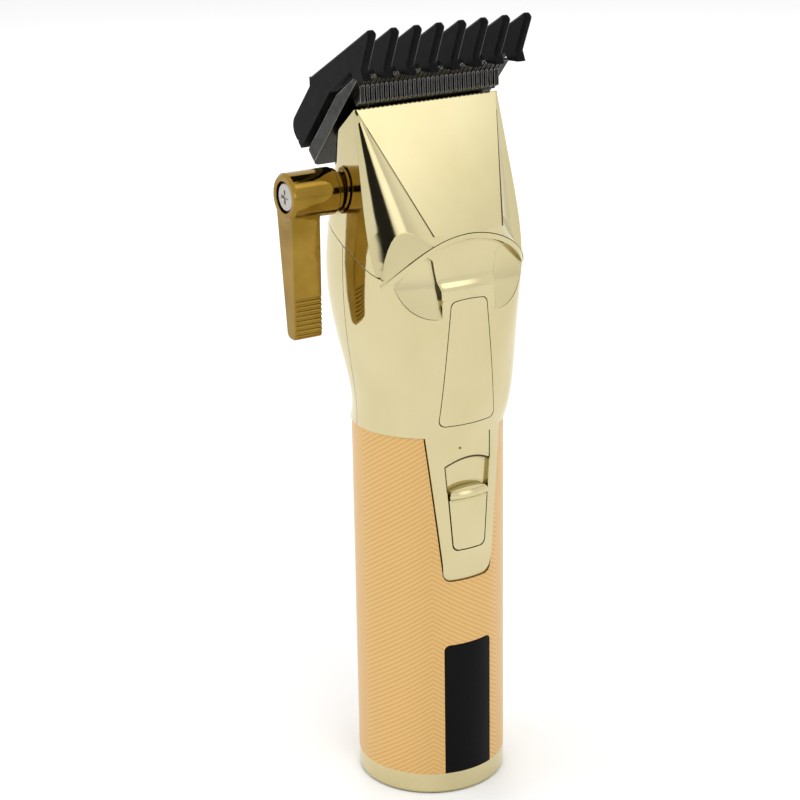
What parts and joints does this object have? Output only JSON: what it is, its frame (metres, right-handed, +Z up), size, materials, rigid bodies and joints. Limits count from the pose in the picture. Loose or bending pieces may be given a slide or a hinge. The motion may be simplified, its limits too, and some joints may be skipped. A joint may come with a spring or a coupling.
{
  "type": "hair clipper",
  "caption": "Cordless hair clipper with a round handle, mirror-gold upper body, side taper lever, toothed blade set and a clip-on guide comb.",
  "frame": {"origin": "middle of the flat foot, on the handle's axis", "axes": "+Z up the handle towards the blades, -Y out of the thumb side with the switch and the display, -X out of the side with the taper lever"},
  "size_m": [0.0575, 0.0445, 0.1967],
  "materials": {
    "plated_gold": "mirror-plated pale gold",
    "rose_aluminium": "anodised peach gold with fine slanted lines",
    "dark_window": "smoked gloss",
    "deep_gold": "polished deep gold",
    "black_plastic": "satin moulded",
    "dark_steel": "dark coated, ground edges",
    "bright_steel": "bright",
    "grey_plastic": "moulded",
    "cell_wrap": "shrink wrap over the metal can",
    "board_green": "solder mask",
    "motor_metal": "zinc plated"
  },
  "bodies": {
    "housing": {"base_cap": "plated_gold", "charge_socket": "bright_steel", "grip_sleeve": "rose_aluminium", "display_window": "dark_window", "chassis": "grey_plastic", "battery_cell": "cell_wrap", "main_board": "board_green", "display_module": "black_plastic", "switch_block": "black_plastic", "front_shell": "plated_gold", "rear_shell": "plated_gold", "shell_screws": "bright_steel", "thumb_plate": "plated_gold", "head_cover": "plated_gold", "motor_can": "motor_metal", "motor_bracket": "grey_plastic", "motor_screws": "bright_steel", "lever_bush": "deep_gold", "head_frame": "grey_plastic", "blade_bracket": "motor_metal", "fixed_blade": "dark_steel", "blade_screws": "bright_steel"},
    "rotor": {"motor_shaft": "bright_steel", "drive_eccentric": "deep_gold", "drive_pin": "bright_steel"},
    "taper_lever": {"taper_lever": "deep_gold", "lever_shaft": "bright_steel", "lever_screw": "bright_steel"},
    "taper_slide": {"cutter_carriage": "black_plastic", "tension_spring": "bright_steel"},
    "cutter": {"cutter_blade": "dark_steel", "cutter_yoke": "grey_plastic"},
    "power_switch": {"power_switch": "plated_gold"},
    "guide_comb": {"guide_comb": "black_plastic", "comb_clip": "bright_steel"}
  },
  "joints": [
    {"name": "rotor_spin", "type": "hinge", "parent": "housing", "child": "rotor", "pos_m": [0, 0, 0.1386], "axis": [0, 0, 1], "continuous": true},
    {"name": "lever_swing", "type": "hinge", "parent": "housing", "child": "taper_lever", "pos_m": [-0.0282, 0.0065, 0.1562], "axis": [-1, 0, 0], "range_deg": [0, 50]},
    {"name": "taper_slide", "type": "slide", "parent": "housing", "child": "taper_slide", "axis": [0, 0.682, -0.7314], "range_m": [0, 0.0017]},
    {"name": "cutter_slide", "type": "slide", "parent": "taper_slide", "child": "cutter", "axis": [1, 0, 0], "range_m": [-0.0012, 0.0012]},
    {"name": "switch_slide", "type": "slide", "parent": "housing", "child": "power_switch", "axis": [0, 0, 1], "range_m": [0, 0.0045]},
    {"name": "comb_lift", "type": "slide", "parent": "housing", "child": "guide_comb", "axis": [0, 0.7314, 0.682], "range_m": [0, 0.03]}
  ],
  "couplings": [
    {"joint": "taper_slide", "follows": "lever_swing", "m_per_rad": 0.0019371}
  ]
}
